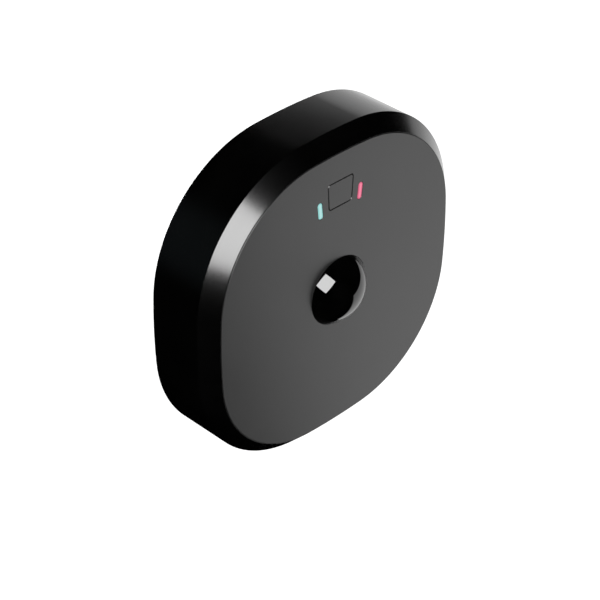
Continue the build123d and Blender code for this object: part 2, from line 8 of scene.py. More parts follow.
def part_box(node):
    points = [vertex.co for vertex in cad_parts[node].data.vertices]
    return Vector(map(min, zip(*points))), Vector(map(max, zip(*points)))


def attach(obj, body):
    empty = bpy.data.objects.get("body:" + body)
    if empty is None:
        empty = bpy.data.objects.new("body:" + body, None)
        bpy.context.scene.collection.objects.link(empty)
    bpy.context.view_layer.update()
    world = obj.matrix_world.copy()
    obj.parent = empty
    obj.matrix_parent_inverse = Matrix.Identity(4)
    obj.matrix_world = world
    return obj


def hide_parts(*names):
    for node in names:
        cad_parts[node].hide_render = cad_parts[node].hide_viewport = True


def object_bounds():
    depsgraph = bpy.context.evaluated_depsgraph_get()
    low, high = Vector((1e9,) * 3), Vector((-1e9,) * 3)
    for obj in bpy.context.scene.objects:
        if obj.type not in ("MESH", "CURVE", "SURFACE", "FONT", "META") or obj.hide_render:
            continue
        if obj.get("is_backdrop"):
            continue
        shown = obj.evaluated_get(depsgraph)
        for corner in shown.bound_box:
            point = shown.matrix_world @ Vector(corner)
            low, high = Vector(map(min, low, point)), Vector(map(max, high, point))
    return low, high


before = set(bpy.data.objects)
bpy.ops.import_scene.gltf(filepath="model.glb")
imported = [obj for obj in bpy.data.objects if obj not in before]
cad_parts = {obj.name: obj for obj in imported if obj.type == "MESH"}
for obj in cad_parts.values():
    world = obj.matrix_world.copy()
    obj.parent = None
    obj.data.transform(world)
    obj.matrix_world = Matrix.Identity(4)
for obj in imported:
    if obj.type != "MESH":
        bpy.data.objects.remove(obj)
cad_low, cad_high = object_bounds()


# The wall plate is one injection moulding in dark grey plastic with a spark texture. Pockets in its
# back keep the wall even, two screws fix it to the wall box, and a spring finger stands at each corner.
def new_material(name):
    """New node material, its tree, its shader and the object's own coordinates."""
    material = bpy.data.materials.new(name)
    material.use_nodes = True
    tree = material.node_tree
    place = tree.nodes.new("ShaderNodeTexCoord")
    return material, tree, tree.nodes["Principled BSDF"], place.outputs["Object"]


def added(tree, kind, *first, **named):
    """New node of a kind. Each input, given in order or by its name, is linked to a socket or set
    to a value."""
    node = tree.nodes.new(kind)
    given = [*zip(node.inputs, first), *((node.inputs[name], value) for name, value in named.items())]
    for socket, value in given:
        if isinstance(value, bpy.types.NodeSocket):
            tree.links.new(value, socket)
        else:
            socket.default_value = value
    return node


def speckle(tree, place, size, detail=2.0):
    """Noise whose patches are about size across, in metres."""
    noise = added(tree, "ShaderNodeTexNoise", Vector=place, Scale=1.0 / size, Detail=detail)
    return noise.outputs["Fac"]


NOISE_RANGE = (0.3, 0.7)


def eased(tree, value, start, end, low, high):
    """Goes from low to high as the value goes from start to end, gently at both ends."""
    spread = added(tree, "ShaderNodeMapRange", value, start, end, low, high)
    spread.interpolation_type = "SMOOTHSTEP"
    return spread.outputs["Result"]


def between(tree, factor, low, high, socket):
    """Drives a number of the shader from low to high over the range that noise mostly has."""
    tree.links.new(eased(tree, factor, *NOISE_RANGE, low, high), socket)


def tinted(tree, factor, low, high, socket):
    """Drives a colour of the shader from low to high over the same range."""
    ramp = added(tree, "ShaderNodeValToRGB", factor)
    ramp.color_ramp.interpolation = "EASE"
    for stop, position, colour in zip(ramp.color_ramp.elements, NOISE_RANGE, (low, high)):
        stop.position = position
        stop.color = (*colour, 1)
    tree.links.new(ramp.outputs["Color"], socket)


def grained(tree, height, depth, shader):
    """Raises the surface by height times depth, in metres."""
    bump = added(tree, "ShaderNodeBump", Distance=depth, Height=height)
    tree.links.new(bump.outputs["Normal"], shader.inputs["Normal"])


def moulded(name, low, high, roughness, drift=0.006, grain=0.0003, depth=0.0, ior=1.5, metallic=0.0):
    """Finish whose colour and roughness drift slowly and whose surface has a fine grain."""
    material, tree, shader, place = new_material(name)
    slow = speckle(tree, place, drift, 3.0)
    tinted(tree, slow, low, high, shader.inputs["Base Color"])
    between(tree, slow, *roughness, shader.inputs["Roughness"])
    shader.inputs["IOR"].default_value = ior
    shader.inputs["Metallic"].default_value = metallic
    if depth:
        grained(tree, speckle(tree, place, grain, 1.0), depth, shader)
    return material


def shown(name, mesh, material):
    """Object of a mesh that is all of one material, in the scene."""
    mesh.materials.append(material)
    made = bpy.data.objects.new(name, mesh)
    bpy.context.scene.collection.objects.link(made)
    return made


SAME_PLACE = 1e-6
FLAT_TURN = np.radians(0.2)
EDGE_TURN = np.radians(40)


def softened(name, node, edge, material, body):
    """The CAD node's own surface with its flat faces made whole again. Every edge that turns by more
    than EDGE_TURN is rounded by edge, as on any moulding or stamping, and flats stay flat."""
    shape = bmesh.new()
    shape.from_mesh(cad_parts[node].data)
    bmesh.ops.remove_doubles(shape, verts=shape.verts, dist=SAME_PLACE)
    bmesh.ops.dissolve_limit(shape, angle_limit=FLAT_TURN, verts=shape.verts, edges=shape.edges)
    mesh = bpy.data.meshes.new(name)
    shape.to_mesh(mesh)
    shape.free()
    mesh.polygons.foreach_set("use_smooth", np.ones(len(mesh.polygons), bool))
    made = shown(name, mesh, material)
    rounding = made.modifiers.new("rounding", "BEVEL")
    rounding.width = edge
    rounding.segments = 2
    rounding.limit_method = "ANGLE"
    rounding.angle_limit = EDGE_TURN
    rounding.use_clamp_overlap = False
    flats = made.modifiers.new("flats", "WEIGHTED_NORMAL")
    flats.keep_sharp = False
    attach(made, body)
    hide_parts(node)


plate_grey = moulded("plate_grey", (0.105, 0.108, 0.112), (0.135, 0.138, 0.142), (0.42, 0.55),
                     drift=0.02, grain=0.00022, depth=0.000012)
softened("mounting_plate", "wall_plate", 0.00012, plate_grey, "wall_base")


# The plate's board is glass laminate under green solder mask, with copper runs below the mask from
# each terminal to its contact in the socket. Two small screws hold it down.
PLATE_BOARD_FRONT = -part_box("plate_board")[0].y
POLES = 8
POLE_PITCH = 0.005
PIN_PITCH = 0.00254
BLOCK_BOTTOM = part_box("terminal_block")[0].z
SOCKET_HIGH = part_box("plate_socket")[1].z
RUN_W = 0.0007
RUN_T = 0.00004
RUN_STEP = 0.00085
RUN_BEND = 0.45 * RUN_STEP
RUN_TUCK = 0.00005
FIRST_RUN = 0.0009
THREAD_SCALE = 620.0
THREAD_SHOW = 0.18
THREAD_DEPTH = 0.000004


def worked_out(tree, operation, *terms):
    """Result of a maths node whose terms are sockets or plain numbers."""
    node = added(tree, "ShaderNodeMath", *terms)
    node.operation = operation
    return node.outputs[0]


def laminate(name, low, high):
    """Solder mask over glass cloth: the cloth's threads, two crossed waves, show faintly through."""
    material, tree, shader, place = new_material(name)
    threads = []
    for direction in ("X", "Z"):
        wave = added(tree, "ShaderNodeTexWave", place, Scale=THREAD_SCALE, Distortion=0.6, Detail=0.0)
        wave.bands_direction = direction
        threads.append(wave.outputs["Fac"])
    cloth = worked_out(tree, "MULTIPLY", *threads)
    slow = speckle(tree, place, 0.009, 3.0)
    tint = worked_out(tree, "MULTIPLY_ADD", cloth, THREAD_SHOW, slow)
    tinted(tree, tint, low, high, shader.inputs["Base Color"])
    between(tree, slow, 0.24, 0.34, shader.inputs["Roughness"])
    grained(tree, cloth, THREAD_DEPTH, shader)
    return material


def rounded(corners, radii, steps=5, closed=True):
    """Profile through the corners, anticlockwise in (outward, level), with each corner replaced
    by an arc that is tangent to both of its straight runs. Returns points and normals."""
    corners = np.asarray(corners, float)
    points, normals = [], []
    last = len(corners) - 1
    for k, (corner, radius) in enumerate(zip(corners, radii)):
        if not closed and k in (0, last):
            run = corners[1] - corners[0] if k == 0 else corners[-1] - corners[-2]
            run = run / np.linalg.norm(run)
            points.append(corner[None])
            normals.append(np.array([[run[1], -run[0]]]))
            continue
        before = corner - corners[k - 1]
        after = corners[(k + 1) % len(corners)] - corner
        before = before / np.linalg.norm(before)
        after = after / np.linalg.norm(after)
        turn = np.arctan2(before[0] * after[1] - before[1] * after[0], before @ after)
        start = np.arctan2(-before[0], before[1])
        if radius == 0:
            points.append(np.repeat(corner[None], 2, 0))
            facing = np.array([start, start + turn])
        else:
            side = np.sign(turn)
            reach = radius * np.tan(abs(turn) / 2)
            inward = np.array([-before[1], before[0]]) * side
            centre = corner - before * reach + inward * radius
            facing = start + turn * np.linspace(0, 1, steps)
            points.append(centre + side * radius * np.stack([np.cos(facing), np.sin(facing)], -1))
        normals.append(np.stack([np.cos(facing), np.sin(facing)], -1))
    return np.concatenate(points), np.concatenate(normals)


def grid_faces(columns, rows, endless=True, closed=False):
    """Quads of a grid of columns times rows points, numbered column by column. endless joins the
    last column to the first, closed the last row to the first."""
    i = np.arange(columns if endless else columns - 1)[:, None]
    j = np.arange(rows if closed else rows - 1)
    here, there, up = i * rows, (i + 1) % columns * rows, (j + 1) % rows
    return np.stack([here + j, there + j, there + up, here + up], -1).reshape(-1, 4)


def carried(path, profile, closed=True, keep=None, endless=True):
    """Patch made by carrying the profile round a path: each path point moves outwards along its
    own normal by the profile's first number, and stands off the wall by its second. keep drops
    some of the quads, and endless joins the path's last point to its first."""
    (points, facing), (section, section_facing) = path, profile
    columns, rows = len(points), len(section)
    out, level = section.T
    out_facing, level_facing = section_facing.T
    x, z = (points[:, None, k] + out * facing[:, None, k] for k in (0, 1))
    nx, nz = (out_facing * facing[:, None, k] for k in (0, 1))
    place = np.stack([x, -np.broadcast_to(level, x.shape), z], -1).reshape(-1, 3)
    normal = np.stack([nx, -np.broadcast_to(level_facing, x.shape), nz], -1).reshape(-1, 3)
    faces = grid_faces(columns, rows, endless, closed)
    if keep is not None:
        faces = faces[keep.reshape(-1)]
    return place, normal, faces


def end_caps(path, profile):
    """The two flat ends of a closed profile that was carried along an open path."""
    rows = len(profile[0])
    place = carried(path, profile, endless=False)[0].reshape(-1, rows, 3)
    caps = []
    for end, inner in ((0, 1), (-1, -2)):
        loop = place[end]
        outward = loop.mean(0) - place[inner].mean(0)
        if np.cross(loop, np.roll(loop, -1, 0)).sum(0) @ outward < 0:
            loop = loop[::-1]
        normal = np.tile(outward / np.linalg.norm(outward), (rows, 1))
        caps.append((loop, normal, np.arange(rows)[None]))
    return caps


def sheet(loops, level, facing_front=True):
    """Flat patch at one level off the wall, inside the first loop and outside the others."""
    flat = np.concatenate(loops)
    triangles = np.array(tessellate_polygon([[Vector((x, z, 0)) for x, z in loop] for loop in loops]))
    a, b, c = (flat[triangles[:, k]] for k in range(3))
    area = (b[:, 0] - a[:, 0]) * (c[:, 1] - a[:, 1]) - (b[:, 1] - a[:, 1]) * (c[:, 0] - a[:, 0])
    wrong = (area < 0) == facing_front
    triangles[wrong] = triangles[wrong][:, ::-1]
    place = np.stack([flat[:, 0], np.full(len(flat), -level), flat[:, 1]], -1)
    normal = np.tile([0.0, -1.0 if facing_front else 1.0, 0.0], (len(flat), 1))
    return place, normal, triangles


def piece(name, patches, material, body, slot, *stands_for):
    """One closed mesh from its patches. Points in the same place become one, each face corner
    keeps the true normal of its own patch, and quads that end in a pole become triangles."""
    offset = np.cumsum([0] + [len(p[0]) for p in patches[:-1]])
    place = np.concatenate([p[0] for p in patches])
    normal = np.concatenate([p[1] for p in patches])
    normal = normal / np.linalg.norm(normal, axis=1)[:, None]
    _, first, same = np.unique(np.round(place, 8), axis=0, return_index=True, return_inverse=True)
    same = same.reshape(-1)
    faces, corner_normals = [], []
    for start, (_, _, patch_faces) in zip(offset, patches):
        corners = patch_faces + start
        merged = same[corners]
        whole = np.all(merged != np.roll(merged, 1, axis=1), axis=1)
        faces += merged[whole].tolist()
        corner_normals.append(normal[corners[whole]].reshape(-1, 3))
        for loose, kept in zip(corners[~whole], merged[~whole]):
            distinct = kept != np.roll(kept, 1)
            if distinct.sum() >= 3:
                faces.append(kept[distinct].tolist())
                corner_normals.append(normal[loose[distinct]])
    mesh = bpy.data.meshes.new(name)
    mesh.from_pydata(place[first].tolist(), [], faces)
    mesh.polygons.foreach_set("use_smooth", np.ones(len(faces), bool))
    mesh.normals_split_custom_set(np.concatenate(corner_normals).tolist())
    made = shown(name, mesh, material)
    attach(made, body)
    if stands_for:
        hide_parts(*stands_for)
    return made


def line_path(points):
    """Points and right-hand normals of an open line. At a bend the normal is the sum of both runs'
    normals over one plus their product, so a band carried along it keeps its width."""
    points = np.asarray(points, float)
    run = np.diff(points, axis=0)
    run = run / np.linalg.norm(run, axis=1)[:, None]
    right = np.stack([run[:, 1], -run[:, 0]], -1)
    before = np.concatenate([right[:1], right])
    after = np.concatenate([right, right[-1:]])
    return points, (before + after) / (1 + (before * after).sum(1))[:, None]


def copper_run(start, end, bend):
    """Copper run down from start, across at the height bend and down to end, under the mask."""
    (x0, z0), (x1, z1) = start, end
    slant = np.sign(x1 - x0) * RUN_BEND
    path = line_path([(x0, z0), (x0, bend + RUN_BEND), (x0 + slant, bend),
                      (x1 - slant, bend), (x1, bend - RUN_BEND), (x1, z1)])
    side = RUN_W / 2
    low = PLATE_BOARD_FRONT - RUN_T / 2
    top = low + RUN_T
    section = rounded([(-side, low), (side, low), (side, top), (-side, top)],
                      [0, 0, RUN_T * 0.6, RUN_T * 0.6], steps=3)
    return [carried(path, section, endless=False), *end_caps(path, section)]


def in_a_row(count, pitch):
    """Places in a row about the middle, pitch apart."""
    return (np.arange(count) - (count - 1) / 2) * pitch


mask_green = laminate("board_green", (0.013, 0.080, 0.042), (0.022, 0.115, 0.062))
softened("terminal_board", "plate_board", 0.00004, mask_green, "wall_base")
run_green = laminate("copper_under_mask", (0.030, 0.165, 0.075), (0.042, 0.200, 0.092))
run_patches = []
for from_middle, pole, pin in zip(*(in_a_row(POLES, pitch) for pitch in (1, POLE_PITCH, PIN_PITCH))):
    bend = BLOCK_BOTTOM - FIRST_RUN - RUN_STEP * (abs(from_middle) - 0.5)
    run_patches += copper_run((pole, BLOCK_BOTTOM - RUN_TUCK), (pin, SOCKET_HIGH + RUN_TUCK), bend)
piece("copper_runs", run_patches, run_green, "wall_base", "board_green")


# Each screw is cold headed from steel wire, slotted with a saw, given a rolled thread and zinc plated.
# The smallest ones hold the board on the plate, and the same kind holds the dome's clamp ring. A
# screw's size is the radius of its shank and of its head, and the height of its head.
SMALL_SCREW = (0.0007, 0.0013, 0.0008)
PLATE_SCREW_X = 0.0226
PLATE_SCREW_Z = -0.022
PLATE_SCREW_REACH = 0.0026
FIRST_SLOT = 0.4
NEXT_SLOT = 1.9


def slotted_screw(x, z, seat, size, reach, away, turned):
    """Cheese head screw whose head stands off its seat towards away (1 is off the wall), with its
    slot turned by an angle. Head: a slotted profile (across the slot, height) is drawn out along
    the slot by sqrt(r^2 - across^2) either way. Thread: the radius is the crest's less the depth
    times twice the distance of (height / pitch - angle / 2 pi) from the nearest whole number."""
    shank_r, head_r, head_h = size
    slot = head_r * 0.16
    floor = head_h * 0.5
    rim = head_h * 0.1
    inner_r = head_r - rim
    steps = 8
    lean = np.linspace(0, np.arccos(slot / inner_r), steps, endpoint=False)
    flat = np.stack([inner_r * np.cos(lean), np.full(steps, head_h)], -1)
    level_up = np.tile([0.0, 1.0], (steps, 1))
    cut, cut_facing = rounded([(inner_r, head_h), (slot, head_h), (slot, floor), (-slot, floor),
                               (-slot, head_h), (-inner_r, head_h)], [0] * 6, closed=False)
    across, height = np.concatenate([flat, cut[1:-1], flat[::-1] * (-1, 1)]).T
    facing = np.concatenate([level_up, cut_facing[1:-1], level_up])
    chord = np.sqrt(np.maximum(inner_r ** 2 - across ** 2, 0))
    columns = len(across)
    top = np.stack([np.stack([across, side * chord, height], -1) for side in (-1, 1)], 1)
    top_facing = np.repeat(np.stack([facing[:, 0], np.zeros(columns), facing[:, 1]], -1)[:, None], 2, 1)
    i = np.arange(columns - 1)
    top_faces = np.stack([i * 2, i * 2 + 1, i * 2 + 3, i * 2 + 2], -1)

    loop = np.concatenate([top[:, 1], top[::-1, 0]])
    ring = loop * (head_r / inner_r, head_r / inner_r, 1)
    ring[:, 2] = np.minimum(loop[:, 2], head_h - rim)
    foot = ring * (1, 1, 0)
    outward = loop * (1, 1, 0) / inner_r
    wall = np.stack([foot, foot + (0, 0, floor), ring, loop], 1)
    wall_facing = np.stack([outward, outward, outward, outward + (0, 0, 1)], 1)
    wall_faces = grid_faces(*wall.shape[:2])

    pitch = shank_r * 0.5
    depth = shank_r * 0.14
    tip = shank_r * 0.3
    sides = 20
    angle = np.linspace(0, 2 * np.pi, sides, endpoint=False)[:, None]
    rise = np.linspace(-reach + tip, 0, max(8, int(4 * reach / pitch)))
    phase = rise / pitch - angle / (2 * np.pi)
    fade = np.clip(np.minimum(-rise, rise + reach) / pitch, 0, 1)
    radius = shank_r - depth * fade * 2 * np.abs(phase - np.round(phase))
    rise = np.concatenate([[-reach, -reach], rise])
    radius = np.concatenate([np.zeros((sides, 1)), np.full((sides, 1), shank_r - tip), radius], 1)
    around = np.stack([np.cos(angle) + 0 * rise, np.sin(angle) + 0 * rise], -1)
    shank = np.concatenate([around * radius[..., None], np.broadcast_to(rise, radius.shape)[..., None]], -1)
    slope = np.gradient(radius[:, 2:], rise[2:], axis=1)
    shank_facing = np.concatenate([around, np.zeros((sides, len(rise), 1))], -1)
    shank_facing[:, 2:, 2] = -slope
    shank_facing[:, :1] = (0, 0, -1)
    shank_facing[:, 1] = shank_facing[:, 1] + (0, 0, -1)
    shank_faces = grid_faces(*shank.shape[:2])

    c, s = np.cos(turned), np.sin(turned)
    spin = np.array([[c, -s], [s, c]])

    def set_in(local):
        """Local (across, along, height) turned about the screw's axis; away = -1 turns it over."""
        flat = local[..., :2] @ spin.T * (away, 1)
        return np.stack([flat[..., 0], -away * local[..., 2], flat[..., 1]], -1).reshape(-1, 3)

    middle = np.array([x, -seat, z])
    patches = [(set_in(top) + middle, set_in(top_facing), top_faces),
               (set_in(wall) + middle, set_in(wall_facing), wall_faces),
               (set_in(shank) + middle, set_in(shank_facing), shank_faces)]
    loops = [(set_in(edge) + middle)[:, (0, 2)] for edge in (foot, shank[:, -1] * (1, 1, 0))]
    keep = [np.any(np.round(loop, 8) != np.round(np.roll(loop, 1, 0), 8), 1) for loop in loops]
    return patches + [sheet([loop[k] for loop, k in zip(loops, keep)], seat, facing_front=away < 0)]


def screw_set(name, places, seat, size, reach, away, body, node):
    """Like screws in one piece, each slot left where the driver stopped."""
    patches = []
    for k, (x, z) in enumerate(places):
        patches += slotted_screw(x, z, seat, size, reach, away, FIRST_SLOT + NEXT_SLOT * k)
    piece(name, patches, zinc_plate, body, "screw_steel", node)


zinc_plate = moulded("screw_steel", (0.50, 0.50, 0.49), (0.68, 0.67, 0.64), (0.24, 0.40),
                     drift=0.0012, grain=0.00012, depth=0.000003, metallic=1.0)
screw_set("board_fixing_screws", [(side * PLATE_SCREW_X, PLATE_SCREW_Z) for side in (-1, 1)],
          PLATE_BOARD_FRONT, SMALL_SCREW, PLATE_SCREW_REACH, 1, "wall_base", "plate_board_screws")


# The terminal block is moulded in green nylon and soldered to the board. Behind each screw well lies
# a steel cage that the screw draws up, so it clamps the bare wire pushed in from above.
POLE_SCREW = (0.0009, 0.0016, 0.0013)
POLE_SEAT = 0.0072
POLE_Z = -0.0133
POLE_REACH = 0.0019
nylon_green = moulded("terminal_green", (0.028, 0.165, 0.098), (0.040, 0.205, 0.125), (0.30, 0.40),
                      drift=0.01, grain=0.00025, depth=0.000008)
softened("wire_terminal_block", "terminal_block", 0.00015, nylon_green, "wall_base")


def rolled(name, low, high, roughness, grain, stretch, depth):
    """Rolled or plated sheet metal: the grain is noise stretched along x by stretch."""
    material, tree, shader, place = new_material(name)
    draw = added(tree, "ShaderNodeMapping", Vector=place, Scale=(1.0 / stretch, 1.0, 1.0))
    fine = speckle(tree, draw.outputs["Vector"], grain)
    slow = speckle(tree, place, 0.004)
    tinted(tree, slow, low, high, shader.inputs["Base Color"])
    between(tree, fine, *roughness, shader.inputs["Roughness"])
    shader.inputs["Metallic"].default_value = 1.0
    grained(tree, fine, depth, shader)
    return material


tinned_sheet = rolled("tin_plate", (0.60, 0.60, 0.58), (0.74, 0.74, 0.71), (0.20, 0.36),
                      grain=0.00018, stretch=9.0, depth=0.000002)
softened("clamp_cages", "wire_clamps", 0.00008, tinned_sheet, "wall_base")
screw_set("wire_screws", [(x, POLE_Z) for x in in_a_row(POLES, POLE_PITCH)], POLE_SEAT, POLE_SCREW,
          POLE_REACH, 1, "wall_base", "terminal_screws")


# The socket below the terminals is a glass-filled nylon body with a spring contact in each cavity.
# Its gold flashed leaves grip the head's pins, which both carry the signals and locate the head.
inner_black = moulded("inner_black", (0.018, 0.018, 0.019), (0.030, 0.030, 0.032), (0.40, 0.55),
                      drift=0.008, grain=0.00025, depth=0.000010)
softened("plug_socket", "plate_socket", 0.00010, inner_black, "wall_base")
gold_flash = rolled("contact_brass", (0.78, 0.56, 0.22), (0.90, 0.70, 0.34), (0.16, 0.28),
                    grain=0.00015, stretch=6.0, depth=0.000001)
softened("spring_contacts", "socket_contacts", 0.00005, gold_flash, "wall_base")


# The case of the head is one deep moulding in glossy black polycarbonate: a straight wall, a flat
# bevel round the front, a lip for the face plate to sit inside, an inner wall with the screw
# bosses behind it, and seven slots in the lower side that let air reach the sensor.
HALF = cad_high.x
SIDE_ARC = 0.172
CORNER_ARC = 0.0369
CASE_BACK = -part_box("housing")[1].y
FACE = -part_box("housing")[0].y
BEVEL = 0.00415
WALL = 0.002
PANEL_T = 0.0018
TAPE_T = 0.0002
FRONT_WALL_T = 0.0012
PANEL_BACK = FACE - PANEL_T
WEB_FRONT = PANEL_BACK - TAPE_T
WEB_BACK = WEB_FRONT - FRONT_WALL_T
VENT_W = 0.0014
VENT_PITCH = 0.0036
VENT_COUNT = 7
VENT_LOW = 0.01185
VENT_HIGH = 0.01605
DOME_Z = 0.0003
DOME_R = 0.011
DOME_DROP = 0.00518
DOME_NECK = np.sqrt(DOME_R ** 2 - DOME_DROP ** 2)
BOARD_FRONT = -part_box("main_board")[0].y
COVER_FRONT = -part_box("rear_cover")[0].y
BOARD_SCREW = (0.00095, 0.002, 0.0011)
BOARD_SCREW_XZ = (0.017, 0.0285)
COVER_SCREW = (0.0011, 0.0022, 0.0012)
COVER_SCREW_XZ = (0.027, 0.027)
SCREW_PLAY = 0.00005
ROUND_OFF = 1e-9
BEYOND = SIDE_ARC - HALF
CORNER_IN = (np.sqrt(2 * (SIDE_ARC - CORNER_ARC) ** 2 - BEYOND ** 2) - BEYOND) / 2
SIDE_TURN = np.arctan2(CORNER_IN, CORNER_IN + BEYOND)


def case_outline(columns_per_corner=60, columns_per_side=12, marks=()):
    """Points and outward normals round the front of the case, anticlockwise: each side is an arc
    centred beyond the middle, each corner an arc centred on its diagonal, and both are told by
    the direction in which they face. marks are extra directions that get a point of their own."""
    side = np.linspace(-SIDE_TURN, SIDE_TURN, columns_per_side, endpoint=False)
    bend = np.linspace(SIDE_TURN, np.pi / 2 - SIDE_TURN, columns_per_corner, endpoint=False)
    quarter = np.concatenate([side, bend])
    facing = np.concatenate([quarter + q * np.pi / 2 for q in range(4)])
    facing = np.unique(np.concatenate([facing % (2 * np.pi), np.asarray(marks) % (2 * np.pi)]))
    nearest = np.round(facing / (np.pi / 2)) * np.pi / 2
    on_side = np.abs(facing - nearest) <= SIDE_TURN + ROUND_OFF
    diagonal = (np.floor(facing / (np.pi / 2)) + 0.5) * np.pi / 2
    normal = np.stack([np.cos(facing), np.sin(facing)], -1)
    side_centre = -BEYOND * np.stack([np.cos(nearest), np.sin(nearest)], -1)
    corner_centre = CORNER_IN * np.sqrt(2) * np.stack([np.cos(diagonal), np.sin(diagonal)], -1)
    centre = np.where(on_side[:, None], side_centre, corner_centre)
    radius = np.where(on_side, SIDE_ARC, CORNER_ARC)[:, None]
    return centre + radius * normal, normal


def circle(radius, x=0.0, z=0.0, steps=96):
    """Points and normals round a circle, anticlockwise."""
    turn = np.linspace(0, 2 * np.pi, steps, endpoint=False)
    normal = np.stack([np.cos(turn), np.sin(turn)], -1)
    return np.array([x, z]) + radius * normal, normal


def lozenge(corners, radius, grow=0.0, steps=9):
    """Points and normals round an outline whose corners, given anticlockwise, are all rounded
    alike. It is grown by grow: each point moves outwards by that along its normal."""
    points, normals = rounded(corners, [radius] * len(corners), steps)
    return points + grow * normals, normals


BUTTON_Z = 0.0294
BUTTON_TOP = 0.0087
BUTTON_BOTTOM = 0.0078
BUTTON_TALL = 0.00715
BUTTON_CORNER = 0.0007


def button_outline(grow):
    """The keystone of the button, a little wider at the top."""
    top, bottom, rise = BUTTON_TOP / 2, BUTTON_BOTTOM / 2, BUTTON_TALL / 2
    corners = np.array([(-bottom, -rise), (bottom, -rise), (top, rise), (-top, rise)])
    return lozenge(corners + (0, BUTTON_Z), BUTTON_CORNER, grow)


BAR_X = 0.00705
BAR_Z = 0.02695
BAR_L = 0.0047
BAR_W = 0.00145
BAR_LEAN = np.radians(6.0)


def bar_outline(side, grow=0.0):
    """Slot of a light bar, side -1 on the left and 1 on the right, leaning out at the top."""
    along = np.array([side * np.sin(BAR_LEAN), np.cos(BAR_LEAN)])
    across = np.array([along[1], -along[0]])
    middle = np.array([side * BAR_X, BAR_Z])
    reach = (BAR_L - BAR_W) / 2
    turn = np.linspace(0, np.pi, 17)
    arc = np.stack([np.cos(turn), np.sin(turn)], -1)
    normal = np.concatenate([arc, -arc]) @ np.stack([across, along])
    ends = np.repeat([along * reach, -along * reach], 17, axis=0)
    return middle + ends + (BAR_W / 2 + grow) * normal, normal


def upright(path, low, high, inwards=False):
    """Straight wall over an outline between two levels. inwards makes it the wall of a hole."""
    ends = [(0, high), (0, low)] if inwards else [(0, low), (0, high)]
    return carried(path, rounded(ends, [0, 0], closed=False), closed=False)


def prism(path, low, high):
    """Closed block over an outline between two levels."""
    return [upright(path, low, high), sheet([path[0]], high), sheet([path[0]], low, facing_front=False)]


def ruled(first, second):
    """Flat facets between two rows of points, each with its own normal, the cross product of its
    run along the first row and its run to the second."""
    corners = np.stack([first[:-1], first[1:], second[1:], second[:-1]], 1)
    normal = np.cross(corners[:, 1] - corners[:, 0], corners[:, 3] - corners[:, 0])
    return corners.reshape(-1, 3), np.repeat(normal, 4, 0), np.arange(4 * len(corners)).reshape(-1, 4)


def four(x, z):
    """The four places (+-x, +-z)."""
    return [(a * x, b * z) for a in (-1, 1) for b in (-1, 1)]


def blind_boss(x, z, outer_r, bore_r, low, bore_high):
    """Round boss that hangs from the inner wall at WEB_BACK down to low, with a blind bore."""
    outer, bore = circle(outer_r, x, z, 40), circle(bore_r, x, z, 24)
    return [upright(outer, low, WEB_BACK), sheet([outer[0], bore[0]], low, facing_front=False),
            upright(bore, low, bore_high, inwards=True), sheet([bore[0]], bore_high, facing_front=False)]


vent_x = in_a_row(VENT_COUNT, VENT_PITCH)
vent_edge = np.stack([vent_x - VENT_W / 2, vent_x + VENT_W / 2], -1)
vent_out = np.abs(vent_edge)
vent_turn = np.where(vent_out < SIDE_ARC * np.sin(SIDE_TURN), np.arcsin(vent_out / SIDE_ARC),
                     np.arcsin((vent_out - CORNER_IN) / CORNER_ARC))
vent_ends = 1.5 * np.pi + np.sign(vent_edge) * vent_turn
case_path = case_outline(marks=vent_ends.reshape(-1))
case_facing = np.arctan2(case_path[1][:, 1], case_path[1][:, 0]) % (2 * np.pi)
FOOT = 0.00012
wall_section = rounded([(-FOOT, CASE_BACK), (0, CASE_BACK + FOOT), (0, VENT_LOW), (0, VENT_HIGH),
                        (0, FACE - BEVEL), (-BEVEL, FACE), (-BEVEL, WEB_FRONT)],
                       [0.00008, 0.0001, 0, 0, 0.0003, 0.00012, 0], closed=False)
inner_section = rounded([(-WALL, WEB_BACK), (-WALL, VENT_HIGH), (-WALL, VENT_LOW), (-WALL, CASE_BACK),
                         (-FOOT, CASE_BACK)], [0, 0, 0, 0.0002, 0], closed=False)
inner_loop = case_path[0] - WALL * case_path[1]
lip_loop = case_path[0] - BEVEL * case_path[1]


def without_vents(section):
    """Mask of the quads of a wall that keeps what lies outside every vent: a quad is in one when
    its column faces between the vent's ends and its row rises between the vent's levels."""
    after = np.roll(case_facing, -1)
    middle = np.where(after < case_facing, 0, (case_facing + after) / 2)
    in_column = np.any((middle[:, None] > vent_ends[:, 0]) & (middle[:, None] < vent_ends[:, 1]), 1)
    level = (section[0][:-1, 1] + section[0][1:, 1]) / 2
    spread = np.abs(np.diff(section[0][:, 1]))
    in_row = (level > VENT_LOW) & (level < VENT_HIGH) & (spread > SAME_PLACE)
    return ~(in_column[:, None] & in_row)


def vent_jambs(low_end, high_end):
    """The four walls of a vent, ruled from its outline on the outside of the case to the same
    outline on the inside: along its low edge, up, back along its high edge and down."""
    chosen = (case_facing > low_end - ROUND_OFF) & (case_facing < high_end + ROUND_OFF)
    outer, facing = case_path[0][chosen], case_path[1][chosen]
    loops = []
    for edge in (outer, outer - WALL * facing):
        low, high = (np.stack([edge[:, 0], np.full(len(edge), -level), edge[:, 1]], -1)
                     for level in (VENT_LOW, VENT_HIGH))
        loops.append(np.concatenate([low, high[::-1], low[:1]]))
    return ruled(*loops)


CATCH_W = 0.007
CATCH_LOW = 0.003
CATCH_HIGH = 0.005
CATCH_OUT = 0.0006
CATCH_RAMP = 0.0008
SUNK = 0.0002
SOFT_EDGE = 0.0001
WEB_IN = 0.0405
WEB_OUT = 0.0463
WEB_HALF = 0.0006
RETAINER_EAR_R = 0.0143
retainer_turn = np.radians((90, 210, 330))
retainer_places = RETAINER_EAR_R * np.stack([np.cos(retainer_turn), np.sin(retainer_turn)], -1) + (0, DOME_Z)


